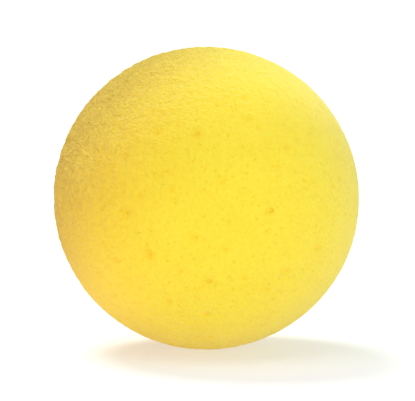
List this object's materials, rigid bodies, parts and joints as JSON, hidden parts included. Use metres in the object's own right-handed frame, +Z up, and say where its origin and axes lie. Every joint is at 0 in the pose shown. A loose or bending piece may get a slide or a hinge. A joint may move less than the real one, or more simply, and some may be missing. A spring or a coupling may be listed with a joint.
{
  "type": "stress ball",
  "caption": "Soft foam ball with a dense, finely pebbled and pinholed skin over a cellular foam core, squeezed in one hand.",
  "frame": {"origin": "the centre of the ball", "axes": "+Z up, and the side of the ball that the large pinholes are listed on faces -Y, with +X to its right; a ball has no front of its own"},
  "size_m": [0.063, 0.063, 0.063],
  "materials": {
    "skin_foam": "matt, finely pebbled self-skin of flexible polyurethane foam, coloured right through",
    "core_foam": "matt, open-celled flexible polyurethane foam, coloured right through"
  },
  "bodies": {
    "root": {"skin": "skin_foam", "foam_core": "core_foam"}
  },
  "joints": []
}
